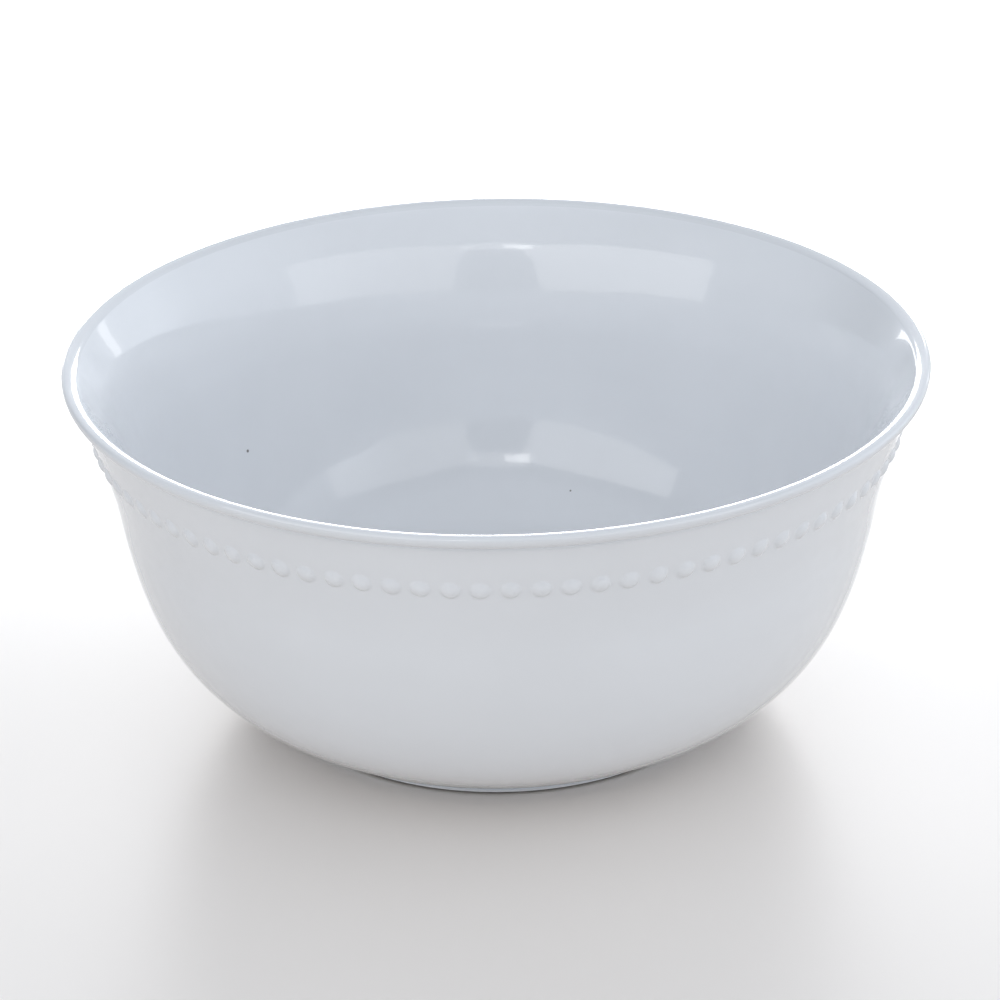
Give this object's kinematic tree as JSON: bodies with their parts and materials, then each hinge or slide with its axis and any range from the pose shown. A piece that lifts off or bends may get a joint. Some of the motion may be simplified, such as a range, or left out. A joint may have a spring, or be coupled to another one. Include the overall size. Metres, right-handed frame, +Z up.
{
  "type": "porcelain serving bowl",
  "caption": "Round glazed white porcelain serving bowl with a flared wall, a rolled rim, a raised beaded border below it and a turned foot ring.",
  "frame": {"origin": "middle of the foot ring's bearing face, on the surface that the bowl stands on", "axes": "+Z up along the bowl's axis, -Y towards the front of the bowl"},
  "size_m": [0.254, 0.254, 0.1114],
  "materials": {
    "body_glaze": "clear gloss glaze over white porcelain with a faint cool cast",
    "rim_glaze": "clear gloss glaze, thinner over the roll",
    "bead_glaze": "clear gloss glaze pooled round raised beads",
    "foot_porcelain": "glazed side with an unglazed, polished bearing edge"
  },
  "bodies": {
    "root": {"bowl_body": "body_glaze", "rim_roll": "rim_glaze", "foot_ring": "foot_porcelain", "bead_strip_1": "bead_glaze", "bead_strip_2": "bead_glaze", "bead_strip_3": "bead_glaze", "bead_strip_4": "bead_glaze", "bead_strip_5": "bead_glaze", "bead_strip_6": "bead_glaze", "bead_strip_7": "bead_glaze"}
  },
  "joints": []
}
